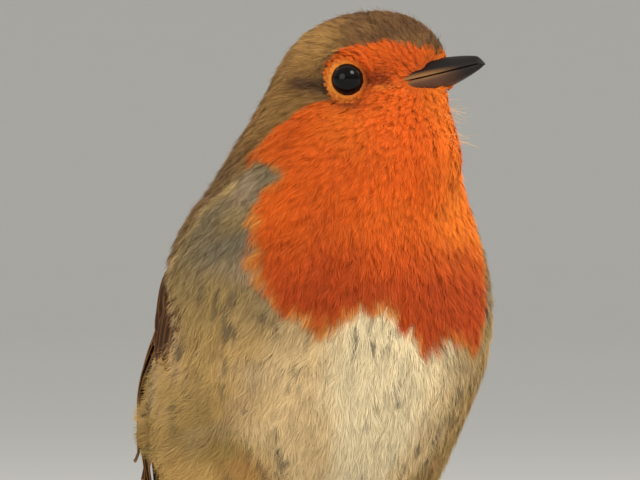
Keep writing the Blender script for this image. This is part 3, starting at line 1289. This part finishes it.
def scaled(line, wide, high, around, up, scales):  # rings with overlapping scale edges on top
    far = np.concatenate([[0], np.cumsum(np.linalg.norm(np.diff(line, axis=0), axis=1))])
    phase = ((far / scales[0]) % 1)[:, None]
    rings = tube(line, wide, high, around, up)
    height = np.sin(fullTurn(around))[None]
    onTop = smooth(-0.3, 0.3, height)
    ridge = (phase ** 1.5) * onTop * scales[1]
    rings = rings + unit(rings - line[:, None]) * ridge[..., None]
    seam = (smooth(0.15, 0.0, phase) * (0.3 + 0.7 * onTop)).ravel() * 0.9
    tone = tint(np.broadcast_to(legs["skin"], (len(seam), 3)), legs["seam"], seam)
    tone = tint(tone, legs["pad"], np.tile(0.6 * smooth(-0.4, -0.9, height[0]), len(line)))
    points, faces = capped(rings)
    return points, faces, np.vstack([tone, tone[:1], tone[-1:]])


def buildShank(ankle, joint):
    down = unit(joint - ankle)
    line = curveThrough([ankle - down * 0.9, (ankle + joint) / 2, joint - down * 0.7], legs["shankPoints"])
    t = np.linspace(0, 1, legs["shankPoints"])
    swell = 0.5 * near(t, 0, 0.1) + 0.3 * near(t, 1, 0.12)
    return scaled(line, 0.6 + swell, 0.8 + swell, 20, legs["lean"], legs["shankScales"])


def buildToe(at, length):
    places = [at(0, 1.7), at(length * 0.3, 1), at(length * 0.65, 0.85), at(length + 0.8, 0.95)]
    line = curveThrough(places, legs["toePoints"])
    t = np.linspace(0, 1, legs["toePoints"])
    bulge = np.cos(t * 6 * math.pi)  # three pads under each toe
    cuff = 0.2 * smooth(0.94, 1, t)
    wide, high = 0.85 - 0.16 * t + 0.14 * bulge - cuff, 0.92 - 0.14 * t + 0.1 * bulge - cuff
    toe = scaled(line, wide, high, 18, upward, legs["toeScales"])
    toe[0][:, 2] = np.maximum(toe[0][:, 2], 0)
    return toe


def buildClaw(at, length, reach):
    places = [at(length + 0.35, 1), at(length + reach * 0.45, 1.55), at(length + reach * 0.8, 1.15),
              at(length + reach, 0.35)]
    line = curveThrough(places, legs["clawPoints"])
    thin = (1 - np.linspace(0, 1, legs["clawPoints"])) ** 0.8
    points, faces = capped(tube(line, 0.5 * thin + 0.06, 0.68 * thin + 0.06, 16, upward))
    return points, faces, plain(points, legs["claw"])


def buildLegs():
    skin, horn = finish("legSkin"), finish("clawHorn")
    for side, word in sides:
        ankle, joint = (np.array(legs[place]) * [side, 1, 1] for place in ("ankle", "joint"))
        makePiece(f"shank_scales_{word}", buildShank(ankle, joint), skin, "leg_skin", f"shank_{word}")
        digits = []
        for name, bearing, length, reach in legs["toes"]:
            angle = math.radians(bearing)
            way = np.array([side * math.sin(angle), -math.cos(angle), 0])

            def at(far, high):
                return np.array([joint[0], joint[1], high]) + way * far

            digits.append(buildToe(at, length))
            makePiece(f"claw_horn_{name}_{word}", buildClaw(at, length, reach), horn, "claw_horn",
                      f"claw_{name}_{word}")
        down = unit(joint - ankle)
        places, thick = zip(*legs["palm"])
        line = [joint + down * place for place in places]
        points, faces = capped(tube(line, thick, thick, 18, legs["lean"]))
        digits.append((points, faces, plain(points, legs["skin"])))
        makePiece(f"foot_scales_{word}", joined(digits), skin, "leg_skin", f"foot_{word}")


buildLegs()
print("legs made")

# stage and lamps: lengths here are in metres

stage = {"radius": 16.0, "flat": 10.0, "rise": 4.0, "rings": 40, "around": 96}


def buildStage():
    radius = stage["radius"] * np.arange(1, stage["rings"] + 1)[:, None] / stage["rings"]
    height = stage["rise"] * smooth(stage["flat"], stage["radius"], radius) ** 1.5
    turn = fullTurn(stage["around"])[None]
    rings = np.stack([radius * np.cos(turn), radius * np.sin(turn), np.repeat(height, turn.size, 1)], -1)
    j = np.arange(1, turn.size + 1)
    fan = np.stack([np.zeros_like(j), j, np.roll(j, -1)], 1)
    faces = np.vstack([fan, ringFaces(*rings.shape[:2])[:, ::-1] + 1])
    mesh = meshFrom("floor", np.vstack([np.zeros(3), rings.reshape(-1, 3)]) / mm, faces)
    mesh.materials.append(finish("floor"))
    inScene("floor", mesh)


lamps = [
    {"name": "key", "place": (0.05, -1.6, 1.35), "size": 0.8, "watts": 23, "tone": (1, 0.95, 0.87)},
    {"name": "fill", "place": (-1.9, -0.8, 0.5), "size": 1.4, "watts": 15, "tone": (1, 0.96, 0.9)},
    {"name": "side", "place": (1.65, -0.8, 1.35), "size": 1.2, "watts": 34, "tone": (1, 0.97, 0.88)},
    {"name": "back", "place": (-0.9, 1.5, 1.5), "size": 1.0, "watts": 16, "tone": (1, 1, 1)},
]
sky = {"tone": (0.88, 0.86, 0.82, 1), "strength": 0.75}
lampTarget = (0, 0, 0.07)


def aim(thing, target):
    way = Vector(target) - thing.location
    thing.rotation_euler = way.to_track_quat("-Z", "Y").to_euler()


def buildLights():
    for lamp in lamps:
        light = bpy.data.lights.new(lamp["name"], "AREA")
        light.shape = "DISK"
        light.size = lamp["size"]
        light.energy = lamp["watts"]
        light.color = lamp["tone"]
        thing = inScene(lamp["name"], light)
        thing.location = lamp["place"]
        aim(thing, lampTarget)
    world = bpy.data.worlds.new("studio")
    world.use_nodes = True
    background = world.node_tree.nodes["Background"].inputs
    background["Color"].default_value = sky["tone"]
    background["Strength"].default_value = sky["strength"]
    bpy.context.scene.world = world


camera = {"azimuth": -28, "target": (1.386, -22.13, 81.2), "away": 2200, "wide": 100.5, "sensor": 36,
          "clip": (0.05, 30)}  # millimetres, but for the clip


def buildCamera():
    turn = math.radians(camera["azimuth"])
    way = np.array([-math.sin(turn), math.cos(turn), 0])
    lens = bpy.data.cameras.new("camera")
    lens.sensor_width = camera["sensor"]
    lens.lens = camera["sensor"] * camera["away"] / camera["wide"]
    lens.clip_start, lens.clip_end = camera["clip"]
    thing = inScene("camera", lens)
    thing.location = Vector((np.array(camera["target"]) - way * camera["away"]) * mm)
    aim(thing, np.array(camera["target"]) * mm)
    bpy.context.scene.camera = thing


buildStage()
buildLights()
buildCamera()
bpy.context.scene.view_settings.view_transform = "Standard"
print("stage, lights and camera set")
